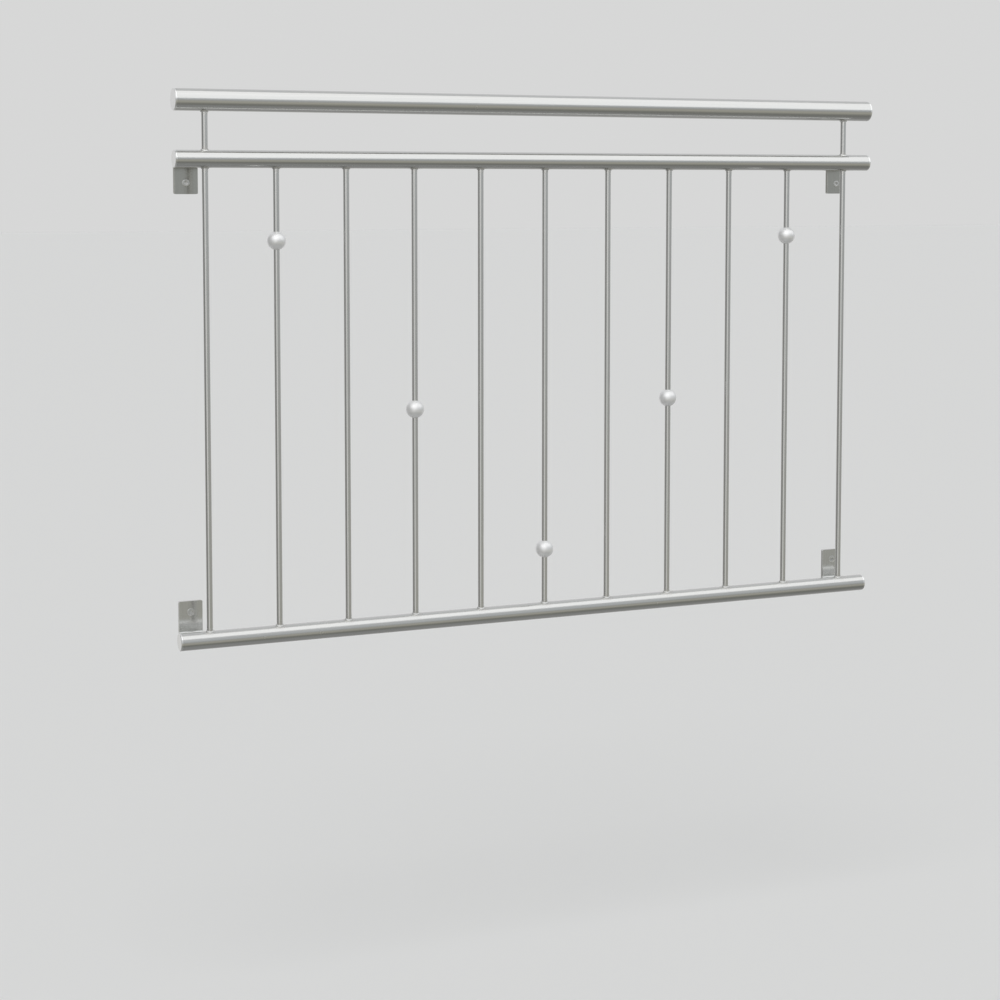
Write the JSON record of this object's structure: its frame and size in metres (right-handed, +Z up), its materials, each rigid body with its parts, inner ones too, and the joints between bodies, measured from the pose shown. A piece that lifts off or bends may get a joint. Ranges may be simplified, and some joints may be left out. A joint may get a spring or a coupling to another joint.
{
  "type": "juliet balcony railing",
  "caption": "Stainless steel juliet balcony railing with round rails, upright bars, decorative balls and bent wall brackets.",
  "frame": {"origin": "on the flat wall face of the lower left bracket, on its centre line", "axes": "+X along the rails to the right as seen from outside, +Y into the wall, +Z up"},
  "size_m": [1.292, 0.0967, 0.9],
  "materials": {
    "rail_steel": "fine satin along the tube",
    "bar_steel": "fine satin along the bar",
    "ball_steel": "soft polished",
    "cap_steel": "turned satin",
    "bracket_steel": "satin flat bar",
    "screw_steel": "bright"
  },
  "bodies": {
    "root": {"handrail": "rail_steel", "upper_rail": "rail_steel", "lower_rail": "rail_steel", "handrail_cap_left": "cap_steel", "handrail_cap_right": "cap_steel", "upper_rail_cap_left": "cap_steel", "upper_rail_cap_right": "cap_steel", "lower_rail_cap_left": "cap_steel", "lower_rail_cap_right": "cap_steel", "handrail_post_left": "bar_steel", "handrail_post_right": "bar_steel", "bar_01": "bar_steel", "bar_02": "bar_steel", "bar_03": "bar_steel", "bar_04": "bar_steel", "bar_05": "bar_steel", "bar_06": "bar_steel", "bar_07": "bar_steel", "bar_08": "bar_steel", "bar_09": "bar_steel", "bar_10": "bar_steel", "bar_11": "bar_steel", "ball_on_bar_02": "ball_steel", "ball_on_bar_04": "ball_steel", "ball_on_bar_06": "ball_steel", "ball_on_bar_08": "ball_steel", "ball_on_bar_10": "ball_steel", "bracket_upper_left": "bracket_steel", "bracket_upper_right": "bracket_steel", "bracket_lower_left": "bracket_steel", "bracket_lower_right": "bracket_steel", "screw_upper_left": "screw_steel", "screw_upper_right": "screw_steel", "screw_lower_left": "screw_steel", "screw_lower_right": "screw_steel"}
  },
  "joints": []
}
